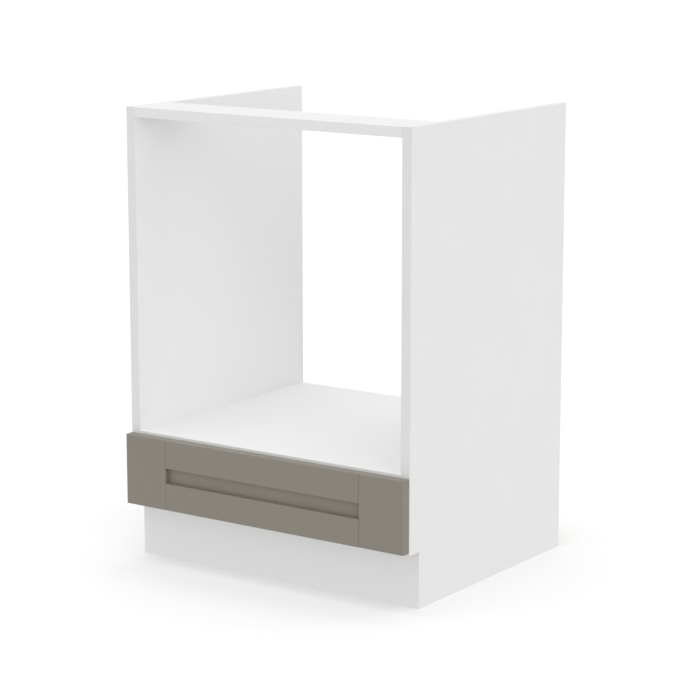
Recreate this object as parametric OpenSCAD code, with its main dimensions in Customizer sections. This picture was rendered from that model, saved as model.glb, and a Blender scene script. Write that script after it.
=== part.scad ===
// Base cabinet for a built-in oven, with one handleless drawer under the oven shelf.
// The origin is on the floor, under the middle of the cabinet. The drawer front faces -Y.

/* [Cabinet] */
// Overall width
cab_w = 600; // [500:10:900]
// Depth of the side panels
carcass_d = 501; // [430:1:650]
// Thickness of the carcass boards
board_t = 18; // [16:1:19]
// Height of the drawer's space, from the base panel up to the oven shelf
drawer_space_h = 102; // [86:1:180]
// Height of the oven niche, from the shelf up to the worktop
niche_h = 582; // [450:1:700]
// Depth of the flat rail across the top front
rail_d = 105; // [85:5:140]
// Thickness of the edge bands on the front edges
band_t = 0.8; // [0.4:0.2:2]
// Thickness of the hardboard behind the drawer
back_t = 3; // [3:0.5:6]
// Distance from the rear edges to the hardboard behind the drawer
back_inset = 10; // [8:1:15]

/* [Plinth] */
// Height of the plinth and of the notch in the sides
plinth_h = 100; // [80:5:110]
// Distance from the carcass front back to the plinth
plinth_setback = 30; // [20:5:60]
// Width of a plinth bracket
bracket_w = 25; // [20:1:40]
// Length of each leg of a plinth bracket
bracket_leg = 30; // [25:1:40]
// Thickness of a plinth bracket
bracket_t = 2; // [1.5:0.5:3]
// Distance between the two plinth brackets
bracket_spacing = 300; // [200:10:400]

/* [Worktop fixing] */
// Distance between the two screw holes in the underside of the top rail
worktop_hole_spacing = 400; // [200:10:440]
// Diameter of those holes
worktop_hole_d = 5; // [4:0.5:7]
// Thickness of the rail that is left above those holes
worktop_hole_skin = 3; // [2:0.5:6]

/* [Drawer front] */
// Thickness of the front's frame
front_t = 18; // [18:1:22]
// Reveal at each side of the front
front_reveal = 1; // [1:0.5:3]
// Gap between the closed front and the carcass
front_gap = 1; // [0.6:0.1:3]
// Height of the front's lower edge above the plinth
front_lift = 4.5; // [2:0.5:10]
// Height of the front's upper edge above the oven shelf's top; below zero the shelf's edge shows
front_over = -5; // [-8:1:8]
// Width of each stile
stile_w = 90; // [75:5:120]
// Height of the front's upper rail
top_rail_h = 51; // [40:1:58]
// Height of the front's lower rail
bottom_rail_h = 49.5; // [36:0.5:54]
// Depth of the centre panel behind the frame's face
recess_d = 9.5; // [4:0.5:10]
// Thickness of the centre panel
centre_t = 5; // [4:0.5:7]
// Depth of the groove that holds the centre panel and the rails' tenons
frame_groove_d = 10; // [8:1:12]
// Radius of the front's outer edges
edge_r = 2.5; // [2:0.5:5]
// Width of the V-groove at each joint between stile and rail
vee_w = 2; // [1:0.2:3]
// Depth of that V-groove
vee_d = 1; // [0.5:0.1:2]
// Diameter of a bumper
bumper_d = 8; // [6:1:10]

/* [Drawer box] */
// Thickness of the drawer boards
drawer_t = 12; // [12:1:15]
// Height of the drawer box's lower edge above the base panel
drawer_lift = 17; // [15:1:20]
// Gap between the drawer box and the shelf above it
drawer_top_gap = 11; // [8:1:15]
// Thickness of the drawer's bottom
bottom_t = 3; // [3:0.5:5]
// Height of the drawer's bottom above the lower edge of the box
bottom_up = 10; // [9:1:12]
// Depth of the grooves that hold the drawer's bottom
groove_d = 6; // [4:0.5:7]

/* [Runners] */
// Free depth between the runners and the hardboard behind the drawer
runner_rear_gap = 35; // [5:1:80]
// Space that a runner takes at each side of the drawer box
runner_space = 12.5; // [12.5:0.5:14]
// Thickness of the runners' sheet steel
steel_t = 1.2; // [1:0.1:1.4]
// Diameter of a roller
roller_d = 23; // [21:0.5:23.5]
// Width of a roller's tread
roller_w = 7.2; // [6:0.1:7.4]
// Inner height of the cabinet runner's channel
channel_h = 26; // [26:0.5:30]
// Diameter of a roller's axle
axle_d = 4; // [3.5:0.5:6]
// Distance from a runner's end to its roller's axle
axle_inset = 15; // [14:0.5:17]
// Length of the opening at the channel's front where the drawer lifts out
lift_out = 40; // [35:1:60]

/* [Fittings] */
// Diameter of a cam lock
cam_d = 15; // [12:1:16]
// Distance from a board's end to its cam's centre
cam_in = 24; // [20:1:34]
// Diameter of a cam bolt's shank
bolt_d = 5; // [4:0.5:5.5]
// Depth of a cam bolt in the side panel
bolt_in_side = 11; // [9:0.5:12]
// Diameter of a dowel
dowel_d = 8; // [6:1:8]
// Length of a dowel
dowel_len = 30; // [25:1:35]
// Depth of a dowel in the board's face
dowel_in_face = 10; // [8:0.5:12]
// Diameter of the screws that hold the cabinet runners
euro_d = 6; // [5:0.5:6.5]
// Length of those screws
euro_len = 11; // [9:0.5:13]
// Diameter of the wood screws in the drawer
screw_d = 4; // [3:0.5:4.5]
// Length of the screws that hold the drawer front and the corners of the box
screw_len = 24; // [20:1:26]
// Diameter of the small screws in the brackets, the drawer rails and the drawer's bottom
small_d = 3; // [2.5:0.5:3.5]
// Length of those small screws
small_len = 11; // [8:0.5:13]

/* [Hidden] */

$fn = 48;
// How far a cutting shape reaches past the face that it cuts
eps = 1;
// Clearance round a fitted piece, and the free space at the bottom of its hole
fit = 0.1;
hole_end = 0.5;
// Radial clearance of a roller on its axle, and the gap between a roller and its track
axle_play = 0.05;
run_gap = 0.3;

// Depth: the front's face, its back, the carcass front and the rear
total_d = front_t + front_gap + carcass_d;
front_y = -total_d / 2;
front_back_y = front_y + front_t;
carcass_y = front_back_y + front_gap;
rear_y = total_d / 2;

// Width: the inner faces of the side panels
inner_x = cab_w / 2 - board_t;
side_mid_x = cab_w / 2 - board_t / 2;

// Height: the plinth, the base panel, the drawer's space, the shelf and the niche stand on one another,
// and their sum is the overall height, from the floor to the underside of the worktop
base_z = plinth_h;
base_top = base_z + board_t;
shelf_z = base_top + drawer_space_h;
shelf_top = shelf_z + board_t;
cab_h = shelf_top + niche_h;
rail_z = cab_h - board_t;

// The plinth and the notch behind it
plinth_y = carcass_y + plinth_setback;
notch_y = plinth_y + board_t;
plinth_dowel_z = [0.3 * plinth_h, 0.7 * plinth_h];

// The hardboard behind the drawer and its grooves
back_groove_d = 5;
back_y = rear_y - back_inset - back_t;

// Cams and dowels in the boards' ends: each dowel lies one pitch from its cam
fitting_pitch = 32;
rail_cam_inset = 35;
rear_cam_inset = 60;
rail_cam_y = [carcass_y + rail_cam_inset];
rail_dowel_y = [rail_cam_y[0] + fitting_pitch];
board_cam_y = [notch_y + cam_d, rear_y - rear_cam_inset];
board_dowel_y = [board_cam_y[0] + fitting_pitch, board_cam_y[1] - fitting_pitch];
// Each joint row: the height of its middle, its cams and its dowels
JOINT_ROWS = [
    [rail_z + board_t / 2, rail_cam_y, rail_dowel_y],
    [shelf_z + board_t / 2, board_cam_y, board_dowel_y],
    [base_z + board_t / 2, board_cam_y, board_dowel_y]
];
cam_above = 4.5;
cam_depth = board_t / 2 + cam_above;
bolt_head_d = 1.2 * bolt_d;
bolt_bore_d = 1.6 * bolt_d;
bolt_head_t = 2.4;
bolt_neck = 3;
cam_slot = 1.4 * bolt_d;

// The drawer front's frame
front_x = cab_w / 2 - front_reveal;
front_z0 = plinth_h + front_lift;
front_z1 = shelf_top + front_over;
stile_x = front_x - stile_w;
opening_z0 = front_z0 + bottom_rail_h;
opening_z1 = front_z1 - top_rail_h;
centre_y = front_y + recess_d;
tongue = frame_groove_d - hole_end;
bumper_play = 0.2;
bumper_t = front_gap - bumper_play;
bumper_inset = 12;

// The runners' ends
runner_setback = 3;
runner_y0 = carcass_y + runner_setback;
runner_y1 = back_y - runner_rear_gap;
runner_len = runner_y1 - runner_y0;

// The drawer box is as long as its runners
box_x = inner_x - runner_space;
box_inner_x = box_x - drawer_t;
box_y0 = front_back_y;
box_y1 = box_y0 + runner_len;
box_z0 = base_top + drawer_lift;
box_z1 = shelf_z - drawer_top_gap;
bottom_z = box_z0 + bottom_up;
inner_front_y = box_y0 + drawer_t;
back_board_y = box_y1 - drawer_t;
back_board_z = bottom_z + bottom_t;

// The runners: the channel's floor, the rollers' axles and the rail on the drawer
rail_drop = 5;
channel_z = box_z0 - rail_drop;
axle_z = channel_z + run_gap + roller_d / 2;
rail_flange_z = axle_z + roller_d / 2 + run_gap;
web_x = inner_x - steel_t;
rail_web_x = box_x + steel_t;
flange_gap = 0.6;
front_axle_y = runner_y0 + axle_inset;
rear_axle_y = runner_y1 - axle_inset;
rail_inset = 4;
rail_y0 = box_y0 + rail_inset;
rail_y1 = box_y1 - rail_inset;
side_play = 0.7;
axle_head_t = 0.8;
axle_head_d = 1.75 * axle_d;
rivet_d = 0.75 * axle_d;
hub_t = 1.8;
rim_t = 2.2;
roller_chamfer = 0.5;
runner_screw_inset = 36;
runner_screw_y = [runner_y0 + runner_screw_inset, runner_y0 + runner_len / 2, runner_y1 - runner_screw_inset];
runner_screw_z = channel_z + channel_h / 2;
euro_rim = 1.25;
euro_head_d = euro_d + 2 * euro_rim;
euro_head_t = 0.6;

// The screws in the drawer
countersink = 3;
screw_edge = 9;
box_screw_z = [rail_flange_z + steel_t + screw_edge, box_z1 - screw_edge];
front_screw_x = box_x - countersink - screw_len - hole_end - screw_d;
front_screw_z = [bottom_z + bottom_t + screw_edge, box_z1 - screw_edge];
screw_head_d = 2 * screw_d;
screw_head_t = 2.2;
small_rim = 2;
small_head_d = small_d + 2 * small_rim;
small_head_t = 1.6;
// The rail's screws stand beside the groove of the drawer's bottom
rail_screw_x = box_x - (drawer_t - groove_d) / 2;
rail_screw_inset = 34;
rail_screw_y = [rail_y0 + rail_screw_inset, (rail_y0 + rail_y1) / 2, rail_y1 - rail_screw_inset];
bottom_screw_x = [-0.8 * box_inner_x, 0, 0.8 * box_inner_x];
bottom_screw_y = box_y1 - drawer_t / 2;

WHITE = [0.94, 0.94, 0.93];
TAUPE = [0.53, 0.515, 0.475];
ZINC = [0.72, 0.73, 0.74];
ENAMEL = [0.9, 0.9, 0.88];
HARDBOARD = [0.9, 0.9, 0.88];
BEECH = [0.82, 0.66, 0.46];
NYLON = [0.86, 0.86, 0.83];
CLEAR = [0.8, 0.82, 0.8];

// Simple shapes

module slab(x0, x1, y0, y1, z0, z1) {
    translate([x0, y0, z0]) cube([x1 - x0, y1 - y0, z1 - z0]);
}

module rod_x(d, x0, x1, y, z) {
    translate([x0, y, z]) rotate([0, 90, 0]) cylinder(d = d, h = x1 - x0);
}

module rod_y(d, x, y0, y1, z) {
    translate([x, y0, z]) rotate([-90, 0, 0]) cylinder(d = d, h = y1 - y0);
}

module rod_z(d, x, y, z0, z1) {
    translate([x, y, z0]) cylinder(d = d, h = z1 - z0);
}

// Draws the children at the right and again, mirrored, at the left
module both_sides() {
    children();
    mirror([1, 0, 0]) children();
}

// Extrudes an outline given in Y and Z along X
module along_x(x0, x1) {
    translate([x0, 0, 0]) rotate([90, 0, 90]) linear_extrude(x1 - x0) children();
}

// A screw that points along +Z, with its head below zero and a cross recess in it
module screw(d, len, head_d, head_t) {
    tip = d;
    difference() {
        union() {
            translate([0, 0, -head_t]) cylinder(d = head_d, h = head_t);
            cylinder(d = d, h = len - tip);
            translate([0, 0, len - tip]) cylinder(d1 = d, d2 = 0.3 * d, h = tip);
        }
        for (a = [0, 90])
            translate([0, 0, -head_t]) rotate([0, 0, a]) cube([0.6 * head_d, 0.15 * head_d, head_t], center = true);
    }
}

// Sets the screws' direction
module pointing_up(x, y, z) { translate([x, y, z]) children(); }
module pointing_front(x, y, z) { translate([x, y, z]) rotate([90, 0, 0]) children(); }
module pointing_right(x, y, z) { translate([x, y, z]) rotate([0, 90, 0]) children(); }
module pointing_left(x, y, z) { translate([x, y, z]) rotate([0, -90, 0]) children(); }

module dowel() {
    chamfer = 0.1 * dowel_d;
    r = dowel_d / 2;
    rotate_extrude()
        polygon([[0, 0], [r - chamfer, 0], [r, chamfer], [r, dowel_len - chamfer],
                 [r - chamfer, dowel_len], [0, dowel_len]]);
}

// Carcass boards

// The right side panel: the left one is its mirror image
module side_board() {
    color(WHITE) difference() {
        along_x(inner_x, cab_w / 2)
            polygon([[carcass_y + band_t, plinth_h], [carcass_y + band_t, cab_h], [rear_y, cab_h],
                     [rear_y, 0], [notch_y, 0], [notch_y, plinth_h]]);
        for (row = JOINT_ROWS) {
            for (y = row[1]) rod_x(bolt_d + 2 * fit, inner_x - eps, inner_x + bolt_in_side + hole_end, y, row[0]);
            for (y = row[2]) rod_x(dowel_d + 2 * fit, inner_x - eps, inner_x + dowel_in_face + hole_end, y, row[0]);
        }
        for (y = runner_screw_y)
            rod_x(euro_d + 2 * fit, inner_x - eps, web_x + euro_len + hole_end, y, runner_screw_z);
        for (z = plinth_dowel_z)
            rod_y(dowel_d + 2 * fit, side_mid_x, notch_y - eps, notch_y + dowel_len - dowel_in_face + hole_end, z);
        slab(inner_x - eps, inner_x + back_groove_d, back_y - fit, back_y + back_t + fit,
             base_top - back_groove_d, shelf_z + back_groove_d);
    }
}

// The front edge band of the right side panel
module side_band() {
    color(WHITE) slab(inner_x, cab_w / 2, carcass_y, carcass_y + band_t, plinth_h, cab_h);
}

// A board between the sides, with its cam and dowel holes; the children are cut from it
module cross_board(z, y1, cam_y, dowel_y) {
    mid = z + board_t / 2;
    color(WHITE) difference() {
        slab(-inner_x, inner_x, carcass_y + band_t, y1, z, z + board_t);
        both_sides() {
            for (y = cam_y) {
                rod_x(bolt_bore_d, inner_x - cam_in, inner_x + eps, y, mid);
                rod_z(cam_d + 2 * fit, inner_x - cam_in, y, z - eps, z + cam_depth);
            }
            for (y = dowel_y)
                rod_x(dowel_d + 2 * fit, inner_x - dowel_len + dowel_in_face - hole_end, inner_x + eps, y, mid);
        }
        children();
    }
}

module cross_band(z) {
    color(WHITE) slab(-inner_x, inner_x, carcass_y, carcass_y + band_t, z, z + board_t);
}

// The groove for the hardboard behind the drawer, from z0 to z1
module back_groove(z0, z1) {
    slab(-inner_x - eps, inner_x + eps, back_y - fit, back_y + back_t + fit, z0, z1);
}

module front_rail() {
    cross_board(rail_z, carcass_y + rail_d, rail_cam_y, rail_dowel_y)
        both_sides()
            rod_z(worktop_hole_d, worktop_hole_spacing / 2, carcass_y + rail_d / 2, rail_z - eps,
                  cab_h - worktop_hole_skin);
}

module oven_shelf() {
    cross_board(shelf_z, rear_y, board_cam_y, board_dowel_y)
        back_groove(shelf_z - eps, shelf_z + back_groove_d);
}

module base_panel() {
    cross_board(base_z, rear_y, board_cam_y, board_dowel_y) {
        back_groove(base_top - back_groove_d, base_top + eps);
        both_sides()
            rod_z(small_d + 2 * fit, bracket_spacing / 2, notch_y + 0.6 * bracket_leg,
                  base_z - eps, base_z - bracket_t + small_len + hole_end);
    }
}

module plinth_board() {
    color(WHITE) difference() {
        slab(-cab_w / 2, cab_w / 2, plinth_y, notch_y, 0, plinth_h);
        both_sides() {
            for (z = plinth_dowel_z)
                rod_y(dowel_d + 2 * fit, side_mid_x, notch_y - dowel_in_face - hole_end, notch_y + eps, z);
            rod_y(small_d + 2 * fit, bracket_spacing / 2, notch_y + bracket_t - small_len - hole_end,
                  notch_y + eps, plinth_h - 0.6 * bracket_leg);
        }
    }
}

module back_strip() {
    reach = back_groove_d - hole_end;
    color(HARDBOARD)
        slab(-inner_x - reach, inner_x + reach, back_y, back_y + back_t, base_top - reach, shelf_z + reach);
}

// Carcass fittings

// A cam lock: a short drum with a slot for the bolt's head and a cross recess underneath
module cam_lock() {
    height = cam_depth - 2 * fit;
    difference() {
        cylinder(d = cam_d, h = height);
        translate([-cam_slot / 2, -cam_slot / 2, board_t / 2 - cam_slot / 2]) cube([cam_d, cam_slot, cam_slot]);
        for (a = [0, 90])
            rotate([0, 0, a]) cube([0.6 * cam_d, 0.1 * cam_d, 0.2 * cam_d], center = true);
    }
}

module cam_locks() {
    color(ZINC) both_sides()
        for (row = JOINT_ROWS, y = row[1])
            translate([inner_x - cam_in, y, row[0] - board_t / 2]) cam_lock();
}

// A cam bolt along +X, from its head in the cam to its thread in the side panel
module cam_bolt() {
    neck_end = bolt_head_t / 2 + bolt_neck;
    rod_x(bolt_head_d, -bolt_head_t / 2, bolt_head_t / 2, 0, 0);
    rod_x(0.7 * bolt_d, 0, neck_end, 0, 0);
    rod_x(bolt_d, neck_end, cam_in + bolt_in_side, 0, 0);
}

module cam_bolts() {
    color(ZINC) both_sides()
        for (row = JOINT_ROWS, y = row[1])
            translate([inner_x - cam_in, y, row[0]]) cam_bolt();
}

module carcass_dowels() {
    color(BEECH) both_sides() {
        for (row = JOINT_ROWS, y = row[2])
            translate([inner_x - dowel_len + dowel_in_face, y, row[0]]) rotate([0, 90, 0]) dowel();
        for (z = plinth_dowel_z)
            translate([side_mid_x, notch_y - dowel_in_face, z]) rotate([-90, 0, 0]) dowel();
    }
}

module plinth_brackets() {
    color(ZINC) both_sides() difference() {
        translate([bracket_spacing / 2 - bracket_w / 2, notch_y, plinth_h]) {
            translate([0, 0, -bracket_leg]) cube([bracket_w, bracket_t, bracket_leg]);
            translate([0, 0, -bracket_t]) cube([bracket_w, bracket_leg, bracket_t]);
        }
        rod_y(small_d + 4 * fit, bracket_spacing / 2, notch_y - eps, notch_y + bracket_t + eps,
              plinth_h - 0.6 * bracket_leg);
        rod_z(small_d + 4 * fit, bracket_spacing / 2, notch_y + 0.6 * bracket_leg,
              plinth_h - bracket_t - eps, plinth_h + eps);
    }
}

module plinth_bracket_screws() {
    color(ZINC) both_sides() {
        pointing_front(bracket_spacing / 2, notch_y + bracket_t, plinth_h - 0.6 * bracket_leg)
            screw(small_d, small_len, small_head_d, small_head_t);
        pointing_up(bracket_spacing / 2, notch_y + 0.6 * bracket_leg, plinth_h - bracket_t)
            screw(small_d, small_len, small_head_d, small_head_t);
    }
}

// Runners

// The right cabinet runner: a channel that opens towards the drawer
module cabinet_runner() {
    flange_x = rail_web_x + flange_gap;
    color(ENAMEL) difference() {
        union() {
            slab(web_x, inner_x, runner_y0, runner_y1, channel_z - steel_t, channel_z + channel_h + steel_t);
            slab(flange_x, inner_x, runner_y0, runner_y1, channel_z - steel_t, channel_z);
            slab(flange_x, inner_x, runner_y0 + lift_out, runner_y1,
                 channel_z + channel_h, channel_z + channel_h + steel_t);
        }
        rod_x(rivet_d + 2 * fit, web_x - eps, inner_x + eps, front_axle_y, axle_z);
        for (y = runner_screw_y)
            rod_x(euro_d + 4 * fit, web_x - eps, inner_x + eps, y, runner_screw_z);
    }
}

module runner_screws() {
    color(ZINC) both_sides()
        for (y = runner_screw_y)
            pointing_right(web_x, y, runner_screw_z) screw(euro_d, euro_len, euro_head_d, euro_head_t);
}

// A roller's axle along +X: a rivet foot in the steel, the axle and a head that keeps the roller on
module axle() {
    journal = side_play + roller_w + run_gap;
    rod_x(rivet_d, -steel_t, 0, 0, 0);
    rod_x(axle_d, 0, journal, 0, 0);
    rod_x(axle_head_d, journal, journal + axle_head_t, 0, 0);
}

// A nylon roller along +X: a tread, a thinner web and a hub round the bore
module roller() {
    r = roller_d / 2;
    bore_r = axle_d / 2 + axle_play;
    hub_r = bore_r + hub_t;
    rim_r = r - rim_t;
    dish = 0.2 * roller_w;
    edge = roller_chamfer;
    rotate([0, 90, 0]) rotate_extrude($fn = 96)
        polygon([[bore_r, 0], [hub_r, 0], [hub_r, dish], [rim_r, dish], [rim_r, 0], [r - edge, 0],
                 [r, edge], [r, roller_w - edge], [r - edge, roller_w], [rim_r, roller_w],
                 [rim_r, roller_w - dish], [hub_r, roller_w - dish], [hub_r, roller_w], [bore_r, roller_w]]);
}

// The front axle and roller stand on the cabinet runner and point towards the drawer
module front_axle() {
    color(ZINC) translate([web_x, front_axle_y, axle_z]) mirror([1, 0, 0]) axle();
}

module front_roller() {
    color(NYLON) translate([web_x - side_play - roller_w, front_axle_y, axle_z]) roller();
}

// The rear axle and roller stand on the drawer rail and point towards the cabinet runner
module rear_axle() {
    color(ZINC) translate([rail_web_x, rear_axle_y, axle_z]) axle();
}

module rear_roller() {
    color(NYLON) translate([rail_web_x + side_play, rear_axle_y, axle_z]) roller();
}

// The right drawer rail: a foot under the drawer side, a web beside it and a flange over the front roller
module drawer_rail() {
    color(ENAMEL) difference() {
        union() {
            slab(box_x, rail_web_x, rail_y0, rail_y1, box_z0 - steel_t, rail_flange_z + steel_t);
            slab(box_inner_x, rail_web_x, rail_y0, rail_y1, box_z0 - steel_t, box_z0);
            slab(box_x, web_x - side_play, rail_y0, rail_y1, rail_flange_z, rail_flange_z + steel_t);
        }
        rod_x(rivet_d + 2 * fit, box_x - eps, rail_web_x + eps, rear_axle_y, axle_z);
        for (y = rail_screw_y)
            rod_z(small_d + 4 * fit, rail_screw_x, y, box_z0 - steel_t - eps, box_z0 + eps);
    }
}

module drawer_rail_screws() {
    color(ZINC) both_sides()
        for (y = rail_screw_y)
            pointing_up(rail_screw_x, y, box_z0 - steel_t) screw(small_d, small_len, small_head_d, small_head_t);
}

// Drawer front

// The front's outer shape: its outer edges are rounded towards the face
module front_blank() {
    intersection() {
        along_x(-front_x, front_x) rounded_face(front_z0, front_z1);
        translate([0, 0, front_z0 - eps]) linear_extrude(front_z1 - front_z0 + 2 * eps)
            mirror([1, -1]) rounded_face(-front_x, front_x);
    }
}

// An outline across the front's thickness, with its two corners at the face rounded
module rounded_face(low, high) {
    translate([front_y + edge_r, low]) square([front_t - edge_r, high - low]);
    translate([front_y, low + edge_r]) square([front_t, high - low - 2 * edge_r]);
    for (z = [low + edge_r, high - edge_r])
        translate([front_y + edge_r, z]) circle(edge_r);
}

// The half of a V-groove that runs up the right joint
module vee() {
    translate([stile_x, 0, front_z0 - eps]) linear_extrude(front_z1 - front_z0 + 2 * eps)
        polygon([[-vee_w / 2, front_y - eps], [-vee_w / 2, front_y], [0, front_y + vee_d],
                 [vee_w / 2, front_y], [vee_w / 2, front_y - eps]]);
}

module front_stile() {
    color(TAUPE) difference() {
        intersection() {
            front_blank();
            slab(stile_x, front_x, front_y, front_back_y, front_z0, front_z1);
        }
        slab(stile_x - eps, stile_x + frame_groove_d, centre_y - fit, centre_y + centre_t + fit,
             front_z0 - eps, front_z1 + eps);
        vee();
        for (z = front_screw_z)
            rod_y(screw_d + 2 * fit, front_screw_x, inner_front_y - screw_len - hole_end, front_back_y + eps, z);
    }
}

// A rail between the stiles with a tenon at each end; the centre panel's groove runs from z0 to z1
module front_cross_rail(low, high, groove_z0, groove_z1) {
    color(TAUPE) difference() {
        intersection() {
            front_blank();
            union() {
                slab(-stile_x, stile_x, front_y, front_back_y, low, high);
                slab(-stile_x - tongue, stile_x + tongue, centre_y, centre_y + centre_t, low, high);
            }
        }
        slab(-stile_x - frame_groove_d, stile_x + frame_groove_d, centre_y - fit, centre_y + centre_t + fit,
             groove_z0, groove_z1);
        both_sides() vee();
    }
}

module front_top_rail() {
    front_cross_rail(opening_z1, front_z1, opening_z1 - eps, opening_z1 + frame_groove_d);
}

module front_bottom_rail() {
    front_cross_rail(front_z0, opening_z0, opening_z0 - frame_groove_d, opening_z0 + eps);
}

module front_centre_panel() {
    color(TAUPE) slab(-stile_x - tongue, stile_x + tongue, centre_y, centre_y + centre_t,
                      opening_z0 - tongue, opening_z1 + tongue);
}

module front_bumpers() {
    color(CLEAR) both_sides()
        for (z = [front_z0 + bumper_inset, front_z1 - bumper_inset])
            rod_y(bumper_d, side_mid_x, front_back_y, front_back_y + bumper_t, z);
}

// Drawer box

// The right drawer side: the left one is its mirror image
module drawer_side() {
    color(WHITE) difference() {
        slab(box_inner_x, box_x, box_y0, box_y1, box_z0, box_z1);
        slab(box_inner_x - eps, box_inner_x + groove_d, box_y0 - eps, box_y1 + eps,
             bottom_z - fit, bottom_z + bottom_t + fit);
        for (y = [box_y0 + drawer_t / 2, box_y1 - drawer_t / 2], z = box_screw_z) {
            rod_x(screw_d + 4 * fit, box_inner_x - eps, box_x + eps, y, z);
            rod_x(screw_head_d + 4 * fit, box_x - countersink, box_x + eps, y, z);
        }
        for (y = rail_screw_y)
            rod_z(small_d + 2 * fit, rail_screw_x, y, box_z0 - eps, box_z0 - steel_t + small_len + hole_end);
    }
}

// The pilot holes for the corner screws in the end of a cross board of the drawer
module corner_pilots(y) {
    both_sides()
        for (z = box_screw_z)
            rod_x(screw_d + 2 * fit, box_x - countersink - screw_len - hole_end, box_inner_x + eps, y, z);
}

module drawer_inner_front() {
    color(WHITE) difference() {
        slab(-box_inner_x, box_inner_x, box_y0, inner_front_y, box_z0, box_z1);
        slab(-box_inner_x - eps, box_inner_x + eps, inner_front_y - groove_d, inner_front_y + eps,
             bottom_z - fit, bottom_z + bottom_t + fit);
        both_sides()
            for (z = front_screw_z)
                rod_y(screw_d + 4 * fit, front_screw_x, box_y0 - eps, inner_front_y + eps, z);
        corner_pilots(box_y0 + drawer_t / 2);
    }
}

module drawer_back() {
    color(WHITE) difference() {
        slab(-box_inner_x, box_inner_x, back_board_y, box_y1, back_board_z, box_z1);
        corner_pilots(box_y1 - drawer_t / 2);
        for (x = bottom_screw_x)
            rod_z(small_d + 2 * fit, x, bottom_screw_y, back_board_z - eps, bottom_z + small_len + hole_end);
    }
}

module drawer_bottom() {
    reach = groove_d - hole_end;
    color(HARDBOARD) difference() {
        slab(-box_inner_x - reach, box_inner_x + reach, inner_front_y - reach, box_y1,
             bottom_z, bottom_z + bottom_t);
        for (x = bottom_screw_x)
            rod_z(small_d + 4 * fit, x, bottom_screw_y, bottom_z - eps, bottom_z + bottom_t + eps);
    }
}

module front_screws() {
    color(ZINC) both_sides()
        for (z = front_screw_z)
            pointing_front(front_screw_x, inner_front_y, z) screw(screw_d, screw_len, screw_head_d, screw_head_t);
}

module box_screws() {
    color(ZINC) both_sides()
        for (y = [box_y0 + drawer_t / 2, box_y1 - drawer_t / 2], z = box_screw_z)
            pointing_left(box_x - countersink, y, z) screw(screw_d, screw_len, screw_head_d, screw_head_t);
}

module drawer_bottom_screws() {
    color(ZINC)
        for (x = bottom_screw_x)
            pointing_up(x, bottom_screw_y, bottom_z) screw(small_d, small_len, small_head_d, small_head_t);
}

mirror([1, 0, 0]) side_board();  // side_left
side_board();  // side_right
front_rail();
oven_shelf();
base_panel();
plinth_board();
back_strip();
mirror([1, 0, 0]) side_band();  // side_edge_band_left
side_band();  // side_edge_band_right
cross_band(rail_z);  // rail_edge_band
cross_band(shelf_z);  // shelf_edge_band
cross_band(base_z);  // base_edge_band
cam_locks();
cam_bolts();
carcass_dowels();
plinth_brackets();
plinth_bracket_screws();
mirror([1, 0, 0]) cabinet_runner();  // cabinet_runner_left
cabinet_runner();  // cabinet_runner_right
runner_screws();
mirror([1, 0, 0]) front_axle();  // front_axle_left
front_axle();  // front_axle_right
mirror([1, 0, 0]) front_stile();  // front_stile_left
front_stile();  // front_stile_right
front_top_rail();
front_bottom_rail();
front_centre_panel();
mirror([1, 0, 0]) drawer_side();  // drawer_side_left
drawer_side();  // drawer_side_right
drawer_inner_front();
drawer_back();
drawer_bottom();
mirror([1, 0, 0]) drawer_rail();  // drawer_rail_left
drawer_rail();  // drawer_rail_right
mirror([1, 0, 0]) rear_axle();  // rear_axle_left
rear_axle();  // rear_axle_right
front_screws();
box_screws();
drawer_rail_screws();
drawer_bottom_screws();
front_bumpers();
mirror([1, 0, 0]) front_roller();  // front_roller_left
front_roller();  // front_roller_right
mirror([1, 0, 0]) rear_roller();  // rear_roller_left
rear_roller();  // rear_roller_right
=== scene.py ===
"""Dresses an oven base cabinet: a finish for every board, band, runner and fitting, the edge bands as pieces
of their own, and a plain pale stage with the camera of the reference photograph."""

import math

import bmesh
import bpy
from bpy.props import FloatProperty, FloatVectorProperty, PointerProperty
from mathutils import Matrix, Vector


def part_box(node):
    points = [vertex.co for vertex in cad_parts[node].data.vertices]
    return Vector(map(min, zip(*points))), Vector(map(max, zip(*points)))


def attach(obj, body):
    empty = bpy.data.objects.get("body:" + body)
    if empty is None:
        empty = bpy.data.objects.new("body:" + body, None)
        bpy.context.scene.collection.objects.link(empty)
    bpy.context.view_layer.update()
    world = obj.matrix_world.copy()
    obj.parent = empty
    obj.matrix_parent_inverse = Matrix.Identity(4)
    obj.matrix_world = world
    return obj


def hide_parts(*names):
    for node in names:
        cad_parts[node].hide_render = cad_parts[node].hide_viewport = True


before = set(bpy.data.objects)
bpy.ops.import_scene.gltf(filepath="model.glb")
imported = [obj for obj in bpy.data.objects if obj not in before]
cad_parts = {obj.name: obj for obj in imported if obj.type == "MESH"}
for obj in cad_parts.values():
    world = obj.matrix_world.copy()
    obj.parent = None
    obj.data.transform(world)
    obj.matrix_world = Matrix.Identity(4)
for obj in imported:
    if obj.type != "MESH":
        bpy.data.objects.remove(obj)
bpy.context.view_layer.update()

bl_info = {
    "name": "Oven Base Cabinet",
    "version": (1, 0, 0),
    "blender": (4, 5, 0),
    "location": "View3D > Sidebar > Cabinet",
    "description": "Finishes, edge bands and stage for an oven base cabinet with one drawer",
    "category": "Object",
}

X, Y, Z = 0, 1, 2
UP = (Z, 1)
DOWN = (Z, -1)
REAR = (Y, 1)
RIGHT = (X, 1)
LEFT = (X, -1)

# Raw chips for each metre, along the board and through its thickness
CHIPS_ALONG = 230.0
CHIPS_THROUGH = 900.0

# Faint lines of an edge band for each metre, along the band and across it
LINES_ALONG = 9.0
LINES_ACROSS = 1600.0

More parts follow.
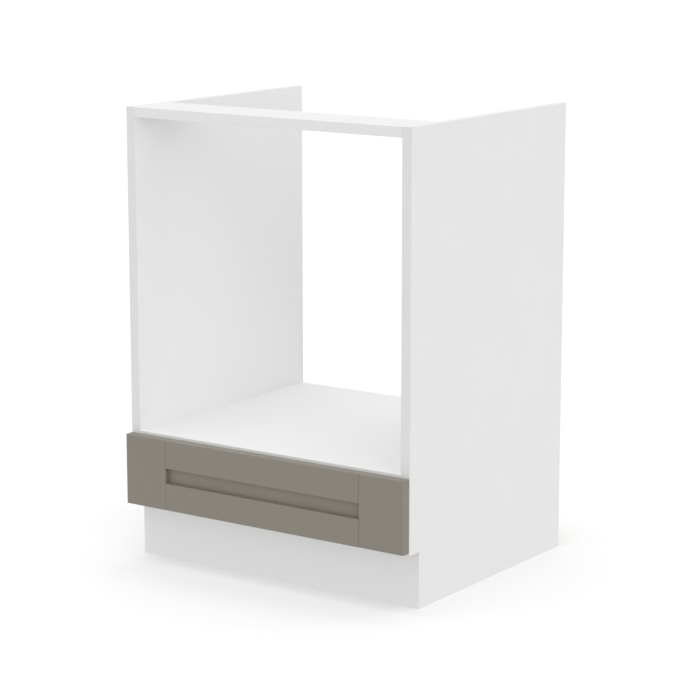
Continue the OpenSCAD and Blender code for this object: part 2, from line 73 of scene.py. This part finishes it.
# Depths of bumps, in metres
FINE_GRAIN = 0.00003
COAT_PEEL = 0.00008
BAND_LINES = 0.00002
FOIL_GRAIN = 0.00004
RAW_CHIPS = 0.0004
RAW_FIBRE = 0.00012
RAW_WOOD = 0.0001

# Distance between the marks of the press screen on the hardboard, in metres
SCREEN_PITCH = 0.0022

# Roundings: points closer than this become one, edges sharper than this are rounded, steps of a band's edge
WELD_DISTANCE = 1e-6
SHARP_ANGLE = math.radians(40)
BAND_STEPS = 4

# Floor and backdrop, in metres
FLOOR_MIDDLE = 3
FLOOR_RADIUS = 40
WALL_CURVE = 10
WALL_HEIGHT = 60

# Glow of the backdrop, steps of its curve, and sides of all that is turned
WALL_GLOW = 0.5
WALL_STEPS = 8
STAGE_SIDES = 96

# Each soft light: the setting of its strength, the direction it comes from, and its spread in degrees
SOFT_LIGHTS = (
    ("top", (0, 0, 3), 60),
    ("key", (3, -3, 0.9), 50),
    ("right", (3, -1.4, 0.5), 50),
    ("left", (-3, -1.1, 0.9), 60),
)

# The camera's sensor in millimetres, and how far it sees in metres
SENSOR_WIDTH = 36
FAR_CLIP = 200

# Settings


def colour_property(name, description, default):
    """A colour that a user can change"""
    return FloatVectorProperty(name=name, description=description, subtype="COLOR", size=3, min=0, max=1,
                               default=default)


def length_property(name, description, default, low, high):
    """A length in metres that a user can change"""
    return FloatProperty(name=name, description=description, subtype="DISTANCE", unit="LENGTH", precision=5,
                         min=low, max=high, default=default)


def light_property(name, description, default):
    """A light's strength that a user can change"""
    return FloatProperty(name=name, description=description, min=0, max=20, default=default)


class CabinetFinishes(bpy.types.PropertyGroup):
    """Colours of the cabinet's materials"""

    board: colour_property("Board", "White melamine of the carcass boards", (0.88, 0.88, 0.878))
    # The plinth's white is darker than the board's though both are the same melamine: painted shade, for the
    # shade under the drawer front.
    plinth: colour_property("Plinth", "White melamine of the plinth board", (0.825, 0.825, 0.823))
    band: colour_property("Edge band", "White edge band on the rail", (0.84, 0.84, 0.838))
    # Darker than the rail's band though both are the same white band: painted shade on the side panels' edges
    # and on the shelf's band above the drawer front.
    shaded_side_band: colour_property("Side band", "White edge band on the side panels, the shelf and the base",
                               (0.79, 0.79, 0.788))
    front: colour_property("Drawer front", "Grey-taupe foil of the drawer front", (0.2475, 0.2245, 0.186))
    chip_dark: colour_property("Dark chips", "Darkest chips of the raw chipboard edges", (0.2, 0.12, 0.06))
    chip_light: colour_property("Light chips", "Lightest chips of the raw chipboard edges", (0.66, 0.5, 0.33))
    fibre: colour_property("Hardboard fibre", "Raw rear side of the hardboard", (0.34, 0.21, 0.12))
    enamel: colour_property("Runner enamel", "Powder coat of the runners", (0.78, 0.78, 0.76))
    zinc: colour_property("Zinc", "Zinc plating of cams, screws, brackets and axles", (0.6, 0.61, 0.63))
    beech: colour_property("Beech", "Raw beech of the dowels", (0.58, 0.38, 0.2))
    nylon: colour_property("Nylon", "Natural nylon of the rollers", (0.74, 0.74, 0.7))
    bumper: colour_property("Bumper", "Clear soft bumpers behind the front", (0.72, 0.74, 0.72))


class CabinetEdges(bpy.types.PropertyGroup):
    """Sizes of the small roundings at the edges"""

    board: length_property("Board edges", "Rounding of the boards' edges", 0.0003, 0.0001, 0.001)
    band: length_property("Band edges", "Radius of the edge bands' front edges", 0.0006, 0.0001, 0.0008)
    front: length_property("Front edges", "Rounding in the recess and at the joints", 0.0006, 0.0001, 0.002)
    steel: length_property("Steel edges", "Rounding at the bends of the runners", 0.0004, 0.0001, 0.0006)


class CabinetStage(bpy.types.PropertyGroup):
    """Floor, backdrop, light and camera"""

    camera: FloatVectorProperty(name="Camera", description="Place of the camera", subtype="TRANSLATION",
                                unit="LENGTH", size=3, default=(2.435386, -3.483671, 1.238507))
    azimuth: FloatProperty(name="Azimuth", description="Turn of the camera to the cabinet's right",
                           unit="ROTATION", subtype="ANGLE", default=math.radians(34.833))
    fall: FloatProperty(name="Fall", description="Angle at which the camera looks down",
                        unit="ROTATION", subtype="ANGLE", default=math.radians(11.441))
    lens: FloatProperty(name="Lens", description="Focal length", unit="CAMERA", min=20, max=300,
                        default=123.675)
    floor: colour_property("Floor", "Pale floor and the backdrop round it", (0.98, 0.98, 0.98))
    room: light_property("Room light", "Strength of the even light from all around", 0.665)
    top: light_property("Top light", "Strength of the wide soft light overhead", 1.1)
    key: light_property("Key light", "Strength of the wide soft light from the front right", 0.52)
    right: light_property("Right light", "Strength of the wide soft light from the right", 0.4)
    left: light_property("Left light", "Strength of the wide soft light from the left", 0.34)


class CabinetSettings(bpy.types.PropertyGroup):
    """All settings of the cabinet"""

    finishes: PointerProperty(type=CabinetFinishes)
    edges: PointerProperty(type=CabinetEdges)
    stage: PointerProperty(type=CabinetStage)


# Finishes


class Wire:
    """A node's output in a finish. Arithmetic on it adds Math nodes."""

    def __init__(self, finish, socket):
        self.finish = finish
        self.socket = socket

    def other(self, name):
        """Another output of the same node"""
        return Wire(self.finish, self.socket.node.outputs[name])

    def maths(self, operation, *values):
        """A Math node on some values"""
        return self.finish.node("ShaderNodeMath", {"operation": operation}, dict(enumerate(values)))

    def __add__(self, value):
        return self.maths("ADD", self, value)

    __radd__ = __add__

    def __sub__(self, value):
        return self.maths("SUBTRACT", self, value)

    def __rsub__(self, value):
        return self.maths("SUBTRACT", value, self)

    def __mul__(self, value):
        return self.maths("MULTIPLY", self, value)

    __rmul__ = __mul__

    def __gt__(self, value):
        return self.maths("GREATER_THAN", self, value)

    def __abs__(self):
        return self.maths("ABSOLUTE", self)

    def wave(self, length):
        """A sine of this length, from -1 to 1"""
        return self.maths("SINE", self * (2 * math.pi / length))


class Finish:
    """A material in the making, with the piece's own coordinates"""

    def __init__(self, name, shader):
        self.material = bpy.data.materials.new(name)
        self.material.use_nodes = True
        self.tree = self.material.node_tree
        self.shader = self.tree.nodes["Principled BSDF"]
        self.surface(shader)
        self.place = self.node("ShaderNodeTexCoord", {}, {}, "Object")
        self.facing = self.place.other("Normal")

    def node(self, kind, settings, sockets, output=0):
        """Adds a node: its settings first, then the values or links of its sockets"""
        made = self.tree.nodes.new(kind)
        for name, value in settings.items():
            if name == "stops":
                for stop, (place, colour) in zip(made.color_ramp.elements, value):
                    stop.position = place
                    stop.color = (*colour, 1)
            else:
                setattr(made, name, value)
        for name, value in sockets.items():
            self.join(made.inputs[name], value)
        return Wire(self, made.outputs[output])

    def join(self, socket, value):
        """Links a socket to a wire, or sets its value"""
        if isinstance(value, Wire):
            self.tree.links.new(value.socket, socket)
        elif socket.type == "RGBA" and len(value) == 3:
            socket.default_value = (*value, 1)
        else:
            socket.default_value = value

    def surface(self, sockets):
        """Sets or links the shader's own sockets"""
        for name, value in sockets.items():
            self.join(self.shader.inputs[name], value)

    def stretched(self, scale):
        """The piece's coordinates, multiplied by a number or by one number for each axis"""
        factors = scale if isinstance(scale, tuple) else (scale,) * 3
        return self.node("ShaderNodeVectorMath", {"operation": "MULTIPLY"}, {0: self.place, 1: factors})

    def noise(self, scale, detail=2.0, roughness=0.5):
        """Clouds from 0 to 1, as many for each metre as the scale says"""
        sockets = {"Vector": self.stretched(scale), "Scale": 1.0, "Detail": detail, "Roughness": roughness}
        return self.node("ShaderNodeTexNoise", {}, sockets, "Fac")

    def mixed(self, share, first, second):
        """A colour between two others"""
        return self.node("ShaderNodeMix", {"data_type": "RGBA"}, {0: share, 6: first, 7: second}, 2)

    def ramp(self, value, *stops):
        """A colour from a row of stops"""
        return self.node("ShaderNodeValToRGB", {"stops": stops}, {"Fac": value}, "Color")

    def faces(self, axis, sign=0):
        """1 where the surface faces along an axis, either way or only towards its sign"""
        part = self.node("ShaderNodeSeparateXYZ", {}, {"Vector": self.facing}, axis)
        return (abs(part) if sign == 0 else part * sign) > 0.6

    def bump(self, height, depth, below=None):
        """Bumps of this depth in metres, on top of those below"""
        sockets = {"Height": height, "Distance": depth, "Strength": 1.0}
        if below is not None:
            sockets["Normal"] = below
        return self.node("ShaderNodeBump", {}, sockets, "Normal")


def shade(colour, factor):
    """A colour made lighter or darker by a factor"""
    return tuple(min(1.0, part * factor) for part in colour)


def chipboard(finish, colours, across):
    """Colour and height of pressed chips that lie flat in the board, thin along the axis across it"""
    scale = [CHIPS_ALONG] * 3
    scale[across] = CHIPS_THROUGH
    chips = finish.node("ShaderNodeTexVoronoi", {"feature": "F1"},
                        {"Vector": finish.stretched(tuple(scale)), "Scale": 1.0, "Randomness": 1.0}, "Color")
    tone = finish.node("ShaderNodeSeparateColor", {}, {"Color": chips}, "Red")
    dust = finish.noise(1500.0, 3.0)
    colour = finish.ramp(tone * 0.75 + dust * 0.25, (0.1, colours.chip_dark), (0.8, colours.chip_light))
    return colour, tone * 0.6 + dust * 0.4


def melamine(name, colours, board, across, banded=(UP,)):
    """White melamine on both faces of a board; raw chips on its edges, except where it is banded"""
    finish = Finish(name, {"Specular IOR Level": 0.45})
    edge = 1 - finish.faces(across)
    core = edge
    for axis, sign in banded:
        core = core * (1 - finish.faces(axis, sign))
    chips, chip_height = chipboard(finish, colours, across)
    cloud = finish.noise(7.0, 3.0)
    pearl = finish.noise(850.0, 1.0)
    darker = finish.mixed(edge, shade(board, 0.99), shade(colours.board, 0.99))
    lighter = finish.mixed(edge, shade(board, 1.01), shade(colours.board, 1.01))
    white = finish.mixed(cloud, darker, lighter)
    satin = 0.4 + 0.06 * finish.noise(60.0) + 0.03 * pearl
    finish.surface({
        "Base Color": finish.mixed(core, white, chips),
        "Roughness": satin + core * 0.45,
        "Normal": finish.bump(chip_height * core, RAW_CHIPS, finish.bump(pearl, FINE_GRAIN)),
    })
    return finish.material


def edge_band(name, white, along):
    """Extruded plastic edge band, with faint lines along its length"""
    scale = [LINES_ACROSS] * 3
    scale[along] = LINES_ALONG
    finish = Finish(name, {"Specular IOR Level": 0.5})
    lines = finish.noise(tuple(scale), 2.0)
    cloud = finish.noise(14.0)
    finish.surface({
        "Base Color": finish.mixed(0.6 * cloud + 0.4 * lines, shade(white, 0.985), shade(white, 1.01)),
        "Roughness": 0.33 + 0.1 * lines,
        "Normal": finish.bump(lines, BAND_LINES),
    })
    return finish.material


def front_foil(name, colours):
    """Satin foil wrapped round fibreboard: a fine even skin with a trace of the board's waviness"""
    finish = Finish(name, {"Specular IOR Level": 0.45})
    cloud = finish.noise(9.0, 3.0)
    peel = finish.noise(420.0, 2.0)
    grain = finish.noise(1700.0, 1.0)
    finish.surface({
        "Base Color": finish.mixed(0.7 * cloud + 0.3 * grain, shade(colours.front, 0.965),
                                   shade(colours.front, 1.03)),
        "Roughness": 0.34 + 0.07 * peel + 0.04 * finish.noise(30.0),
        "Normal": finish.bump(0.7 * peel + 0.3 * grain, FOIL_GRAIN),
    })
    return finish.material


def hardboard(name, colours, raw_side):
    """Hardboard: white lacquer on the inside, and brown fibre with the print of the press screen outside"""
    finish = Finish(name, {"Specular IOR Level": 0.4})
    raw = finish.faces(*raw_side)
    across = [finish.node("ShaderNodeSeparateXYZ", {}, {"Vector": finish.place}, axis)
              for axis in (X, Y, Z) if axis != raw_side[0]]
    screen = across[0].wave(SCREEN_PITCH) * across[1].wave(SCREEN_PITCH)
    fibre = finish.noise((260.0, 260.0, 260.0), 6.0, 0.7)
    brown = finish.mixed(fibre, shade(colours.fibre, 0.6), shade(colours.fibre, 1.35))
    lacquer = finish.mixed(finish.noise(12.0, 3.0), shade(colours.board, 0.955), shade(colours.board, 0.98))
    finish.surface({
        "Base Color": finish.mixed(raw, lacquer, brown),
        "Roughness": 0.42 + raw * 0.4 + 0.08 * fibre,
        "Normal": finish.bump(fibre * 0.5 + raw * screen, RAW_FIBRE),
    })
    return finish.material


def powder_coat(name, colours):
    """Powder coat on sheet steel, with its orange peel"""
    finish = Finish(name, {"Specular IOR Level": 0.5})
    peel = finish.noise(320.0, 2.0)
    cloud = finish.noise(25.0)
    finish.surface({
        "Base Color": finish.mixed(cloud, shade(colours.enamel, 0.97), shade(colours.enamel, 1.02)),
        "Roughness": 0.3 + 0.1 * peel,
        "Normal": finish.bump(peel, COAT_PEEL),
    })
    return finish.material


def zinc_plate(name, colours):
    """Zinc plating, clouded blue and straw"""
    finish = Finish(name, {"Metallic": 1.0})
    spangle = finish.noise(240.0, 3.0, 0.6)
    tint = finish.noise(90.0)
    blue = tuple(part * factor for part, factor in zip(colours.zinc, (0.93, 0.97, 1.06)))
    straw = tuple(part * factor for part, factor in zip(colours.zinc, (1.07, 1.04, 0.93)))
    finish.surface({
        "Base Color": finish.mixed(tint, blue, straw),
        "Roughness": 0.24 + 0.2 * spangle,
        "Normal": finish.bump(spangle, FINE_GRAIN),
    })
    return finish.material


def raw_beech(name, colours):
    """Turned beech with short dark flecks"""
    finish = Finish(name, {"Specular IOR Level": 0.35})
    grain = finish.noise((45.0, 900.0, 900.0), 4.0, 0.6)
    fleck = finish.noise((700.0, 160.0, 700.0), 2.0) > 0.63
    wood = finish.mixed(grain, shade(colours.beech, 0.75), shade(colours.beech, 1.2))
    finish.surface({
        "Base Color": finish.mixed(fleck * 0.5, wood, shade(colours.beech, 0.45)),
        "Roughness": 0.62 + 0.15 * grain,
        "Normal": finish.bump(grain, RAW_WOOD),
    })
    return finish.material


def natural_nylon(name, colours):
    """Moulded nylon, milky, with faint flow lines"""
    finish = Finish(name, {"Specular IOR Level": 0.5, "Subsurface Weight": 0.15, "Subsurface Scale": 0.002})
    flow = finish.noise((500.0, 120.0, 120.0), 3.0)
    finish.surface({
        "Base Color": finish.mixed(flow, shade(colours.nylon, 0.95), shade(colours.nylon, 1.04)),
        "Roughness": 0.36 + 0.12 * flow,
        "Normal": finish.bump(flow, FINE_GRAIN),
    })
    return finish.material


def clear_bumper(name, colours):
    """Clear soft plastic, slightly cloudy"""
    finish = Finish(name, {"Transmission Weight": 0.7, "IOR": 1.49})
    haze = finish.noise(600.0, 2.0)
    finish.surface({
        "Base Color": finish.mixed(haze, shade(colours.bumper, 0.95), shade(colours.bumper, 1.1)),
        "Roughness": 0.12 + 0.15 * haze,
        "Normal": finish.bump(haze, FINE_GRAIN),
    })
    return finish.material


# Pieces


def paint(material, *names):
    """Gives CAD pieces a finish in place of their plain one"""
    for name in names:
        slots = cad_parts[name].data.materials
        slots.clear()
        slots.append(material)


def soften(width, *names):
    """Rounds the sharp edges of CAD pieces a little, without a change to their meshes"""
    for name in names:
        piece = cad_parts[name]
        weld = piece.modifiers.new("weld", "WELD")
        weld.merge_threshold = WELD_DISTANCE
        arris = piece.modifiers.new("arris", "BEVEL")
        arris.limit_method = "ANGLE"
        arris.angle_limit = SHARP_ANGLE
        arris.width = width
        arris.segments = 2
        arris.use_clamp_overlap = True
        arris.harden_normals = True


def both(name):
    """The names of a left and a right piece"""
    return name + "_left", name + "_right"


def rounded_band(name, node, across, radius):
    """An edge band with rounded front edges in the place of a CAD node, wide along the axis across"""
    low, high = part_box(node)
    along = X if across == Z else Z
    outline = [(low[across], high.y)]
    for side, corner in ((1, low[across] + radius), (-1, high[across] - radius)):
        for step in range(BAND_STEPS + 1):
            turn = math.pi / 2 * (step / BAND_STEPS if side == 1 else 1 - step / BAND_STEPS)
            outline.append((corner - side * radius * math.cos(turn), low.y + radius * (1 - math.sin(turn))))
    outline.append((high[across], high.y))
    mesh = bpy.data.meshes.new(name)
    shape = bmesh.new()
    rings = []
    for end in (low[along], high[along]):
        ring = []
        for width_place, depth_place in outline:
            point = Vector((0, depth_place, 0))
            point[across] = width_place
            point[along] = end
            ring.append(shape.verts.new(point))
        rings.append(ring)
        shape.faces.new(ring)
    first, last = rings
    for index in range(len(outline)):
        following = (index + 1) % len(outline)
        side_face = shape.faces.new((first[index], first[following], last[following], last[index]))
        side_face.smooth = True
    bmesh.ops.recalc_face_normals(shape, faces=shape.faces)
    shape.to_mesh(mesh)
    shape.free()
    piece = bpy.data.objects.new(name, mesh)
    bpy.context.scene.collection.objects.link(piece)
    even = piece.modifiers.new("even normals", "WEIGHTED_NORMAL")
    even.weight = 100
    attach(piece, "carcass")
    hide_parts(node)
    return piece


class CABINET_OT_boards(bpy.types.Operator):
    """Gives the carcass boards their melamine, with raw chipboard where no band covers it"""

    bl_idname = "cabinet.boards"
    bl_label = "Carcass boards"

    def execute(self, context):
        settings = context.scene.cabinet
        colours = settings.finishes
        sides = both("side")
        paint(melamine("side melamine", colours, colours.board, X), *sides)
        shelf = melamine("shelf melamine", colours, colours.board, Z, banded=())
        paint(shelf, "oven_shelf", "base_panel", "front_rail")
        # The plinth's faces take the darker plinth white: painted shade under the drawer front.
        plinth = melamine("plinth melamine", colours, colours.plinth, Y, banded=(UP, LEFT, RIGHT))
        paint(plinth, "plinth_board")
        soften(settings.edges.board, *sides, "oven_shelf", "base_panel", "front_rail", "plinth_board")
        return {"FINISHED"}


class CABINET_OT_edge_bands(bpy.types.Operator):
    """Builds the edge bands with their rounded front edges"""

    bl_idname = "cabinet.edge_bands"
    bl_label = "Edge bands"

    def execute(self, context):
        settings = context.scene.cabinet
        colours, radius = settings.finishes, settings.edges.band
        # The upright and level bands take the darker side band white: painted shade on these edges.
        upright = edge_band("upright edge band", colours.shaded_side_band, Z)
        level = edge_band("level edge band", colours.shaded_side_band, X)
        rail = edge_band("rail edge band", colours.band, X)
        for side in ("left", "right"):
            band = rounded_band("band_side_" + side, "side_edge_band_" + side, X, radius)
            band.data.materials.append(upright)
        for board, finish in (("rail", rail), ("shelf", level), ("base", level)):
            band = rounded_band("band_" + board, board + "_edge_band", Z, radius)
            band.data.materials.append(finish)
        return {"FINISHED"}


class CABINET_OT_drawer_front(bpy.types.Operator):
    """Gives the frame and the centre panel of the drawer front their foil"""

    bl_idname = "cabinet.drawer_front"
    bl_label = "Drawer front"

    def execute(self, context):
        settings = context.scene.cabinet
        frame_pieces = (*both("front_stile"), "front_top_rail", "front_bottom_rail")
        foil = front_foil("taupe foil", settings.finishes)
        paint(foil, *frame_pieces, "front_centre_panel")
        soften(settings.edges.front, *frame_pieces)
        return {"FINISHED"}


class CABINET_OT_drawer_box(bpy.types.Operator):
    """Gives the boards of the drawer box their white foil, raw at the ends and in the grooves"""

    bl_idname = "cabinet.drawer_box"
    bl_label = "Drawer box"

    def execute(self, context):
        settings = context.scene.cabinet
        colours = settings.finishes
        sides = both("drawer_side")
        cross = ("drawer_inner_front", "drawer_back")
        paint(melamine("drawer side foil", colours, colours.board, X), *sides)
        paint(melamine("drawer cross foil", colours, colours.board, Y), *cross)
        soften(settings.edges.board, *sides, *cross)
        return {"FINISHED"}


class CABINET_OT_hardboard(bpy.types.Operator):
    """Gives the strip behind the drawer and the drawer's bottom their lacquer and their raw rear side"""

    bl_idname = "cabinet.hardboard"
    bl_label = "Hardboard"

    def execute(self, context):
        settings = context.scene.cabinet
        paint(hardboard("strip hardboard", settings.finishes, REAR), "back_strip")
        paint(hardboard("bottom hardboard", settings.finishes, DOWN), "drawer_bottom")
        soften(settings.edges.board, "back_strip", "drawer_bottom")
        return {"FINISHED"}


class CABINET_OT_runners(bpy.types.Operator):
    """Gives the cabinet runners and the drawer rails their powder coat"""

    bl_idname = "cabinet.runners"
    bl_label = "Runners"

    def execute(self, context):
        settings = context.scene.cabinet
        steel = (*both("cabinet_runner"), *both("drawer_rail"))
        paint(powder_coat("runner powder coat", settings.finishes), *steel)
        soften(settings.edges.steel, *steel)
        return {"FINISHED"}


class CABINET_OT_rollers(bpy.types.Operator):
    """Gives the rollers their nylon and the axles their zinc"""

    bl_idname = "cabinet.rollers"
    bl_label = "Rollers"

    def execute(self, context):
        colours = context.scene.cabinet.finishes
        paint(natural_nylon("roller nylon", colours), *both("front_roller"), *both("rear_roller"))
        paint(zinc_plate("axle zinc", colours), *both("front_axle"), *both("rear_axle"))
        return {"FINISHED"}


class CABINET_OT_fittings(bpy.types.Operator):
    """Gives the cams, bolts, brackets and screws their zinc"""

    bl_idname = "cabinet.fittings"
    bl_label = "Fittings"

    def execute(self, context):
        zinc = zinc_plate("fitting zinc", context.scene.cabinet.finishes)
        paint(zinc, "cam_locks", "cam_bolts", "plinth_brackets", "plinth_bracket_screws", "runner_screws",
              "front_screws", "box_screws", "drawer_rail_screws", "drawer_bottom_screws")
        return {"FINISHED"}


class CABINET_OT_dowels(bpy.types.Operator):
    """Gives the dowels their beech"""

    bl_idname = "cabinet.dowels"
    bl_label = "Dowels"

    def execute(self, context):
        paint(raw_beech("dowel beech", context.scene.cabinet.finishes), "carcass_dowels")
        return {"FINISHED"}


class CABINET_OT_bumpers(bpy.types.Operator):
    """Gives the bumpers their clear plastic"""

    bl_idname = "cabinet.bumpers"
    bl_label = "Bumpers"

    def execute(self, context):
        paint(clear_bumper("bumper plastic", context.scene.cabinet.finishes), "front_bumpers")
        return {"FINISHED"}


# Stage


def soft_light(name, direction, spread, strength):
    """A wide, even light that comes from one direction"""
    data = bpy.data.lights.new(name, "SUN")
    data.angle = spread
    data.energy = strength
    light = bpy.data.objects.new(name, data)
    light.location = direction
    light.rotation_euler = Vector(direction).to_track_quat("Z", "Y").to_euler()
    bpy.context.scene.collection.objects.link(light)
    return light


def stage_paint(name, colour, glow):
    """Matt pale paint, with a glow of its own that lights nothing else"""
    finish = Finish(name, {"Specular IOR Level": 0.2, "Emission Color": colour, "Emission Strength": glow})
    cloud = finish.noise(1.5)
    finish.surface({
        "Base Color": finish.mixed(cloud, shade(colour, 0.995), shade(colour, 1.0)),
        "Roughness": 0.8 + 0.1 * cloud,
    })
    finish.material.cycles.emission_sampling = "NONE"
    return finish.material


def stage_round(name, profile, material, closed):
    """A piece of the stage, turned from a profile of radii and heights, closed or open in the middle.
    It throws no light at the cabinet."""
    mesh = bpy.data.meshes.new(name)
    shape = bmesh.new()
    turns = [math.tau * step / STAGE_SIDES for step in range(STAGE_SIDES)]
    rings = []
    for radius, height in profile:
        points = [(radius * math.cos(turn), radius * math.sin(turn), height) for turn in turns]
        rings.append([shape.verts.new(point) for point in points])
    for inner, outer in zip(rings, rings[1:]):
        for step in range(STAGE_SIDES):
            following = (step + 1) % STAGE_SIDES
            face = shape.faces.new((inner[step], outer[step], outer[following], inner[following]))
            face.smooth = True
    if closed:
        shape.faces.new(rings[0])
    shape.to_mesh(mesh)
    shape.free()
    mesh.materials.append(material)
    piece = bpy.data.objects.new(name, mesh)
    bpy.context.scene.collection.objects.link(piece)
    piece.visible_diffuse = False
    return piece


def stage_floor(colour):
    """A wide pale floor"""
    profile = ((FLOOR_MIDDLE, 0), (FLOOR_RADIUS, 0))
    stage_round("floor", profile, stage_paint("floor paint", colour, 0), closed=True)


def backdrop(colour):
    """A pale wall that curves up from the floor all round, far off; it keeps no light away"""
    profile = []
    for step in range(WALL_STEPS + 1):
        turn = math.pi / 2 * step / WALL_STEPS
        profile.append((FLOOR_RADIUS + WALL_CURVE * math.sin(turn), WALL_CURVE * (1 - math.cos(turn))))
    profile.append((FLOOR_RADIUS + WALL_CURVE, WALL_HEIGHT))
    wall = stage_round("backdrop", profile, stage_paint("backdrop paint", colour, WALL_GLOW), closed=False)
    wall.visible_shadow = False
    wall.visible_glossy = False


def room_light(strength):
    """An even white light from all around"""
    world = bpy.data.worlds.new("room")
    world.use_nodes = True
    background = world.node_tree.nodes["Background"]
    background.inputs["Color"].default_value = (1, 1, 1, 1)
    background.inputs["Strength"].default_value = strength
    bpy.context.scene.world = world


def place_camera(settings):
    """Puts the camera at its place, turned by its azimuth and looking down by its fall"""
    data = bpy.data.cameras.new("camera")
    data.sensor_width = SENSOR_WIDTH
    data.lens = settings.lens
    data.clip_end = FAR_CLIP
    camera = bpy.data.objects.new("camera", data)
    turn, fall = settings.azimuth, settings.fall
    ahead = Vector((-math.sin(turn) * math.cos(fall), math.cos(turn) * math.cos(fall), -math.sin(fall)))
    right = Vector((math.cos(turn), math.sin(turn), 0))
    above = right.cross(ahead)
    basis = Matrix((right, above, -ahead)).transposed()
    camera.matrix_world = Matrix.Translation(settings.camera) @ basis.to_4x4()
    bpy.context.scene.collection.objects.link(camera)
    bpy.context.scene.camera = camera


class CABINET_OT_stage(bpy.types.Operator):
    """Makes the pale floor and backdrop, the soft light and the camera"""

    bl_idname = "cabinet.stage"
    bl_label = "Stage"

    def execute(self, context):
        settings = context.scene.cabinet.stage
        stage_floor(settings.floor)
        backdrop(settings.floor)
        for name, direction, spread in SOFT_LIGHTS:
            light = soft_light(name + " light", direction, math.radians(spread), getattr(settings, name))
            light.visible_glossy = name != "top"
        room_light(settings.room)
        place_camera(settings)
        context.scene.view_settings.view_transform = "Standard"
        return {"FINISHED"}


STEPS = (
    CABINET_OT_boards,
    CABINET_OT_edge_bands,
    CABINET_OT_drawer_front,
    CABINET_OT_drawer_box,
    CABINET_OT_hardboard,
    CABINET_OT_runners,
    CABINET_OT_rollers,
    CABINET_OT_fittings,
    CABINET_OT_dowels,
    CABINET_OT_bumpers,
    CABINET_OT_stage,
)


class CABINET_PT_sidebar(bpy.types.Panel):
    """Lists the cabinet's pieces and the sizes and colours that they use"""

    bl_idname = "CABINET_PT_sidebar"
    bl_label = "Oven base cabinet"
    bl_space_type = "VIEW_3D"
    bl_region_type = "UI"
    bl_category = "Cabinet"

    def draw(self, context):
        settings = context.scene.cabinet
        for step in STEPS:
            self.layout.operator(step.bl_idname)
        groups = {"Colours": settings.finishes, "Edges": settings.edges, "Stage": settings.stage}
        for title, group in groups.items():
            box = self.layout.box()
            box.label(text=title)
            for name in group.__annotations__:
                box.prop(group, name)


CLASSES = (CabinetFinishes, CabinetEdges, CabinetStage, CabinetSettings, *STEPS, CABINET_PT_sidebar)


def register():
    for cls in CLASSES:
        bpy.utils.register_class(cls)
    bpy.types.Scene.cabinet = PointerProperty(type=CabinetSettings)


def unregister():
    del bpy.types.Scene.cabinet
    for cls in reversed(CLASSES):
        bpy.utils.unregister_class(cls)


def main():
    """Dresses the cabinet"""
    register()
    for step in STEPS:
        group, name = step.bl_idname.split(".")
        getattr(getattr(bpy.ops, group), name)()


if __name__ == "__main__":
    main()
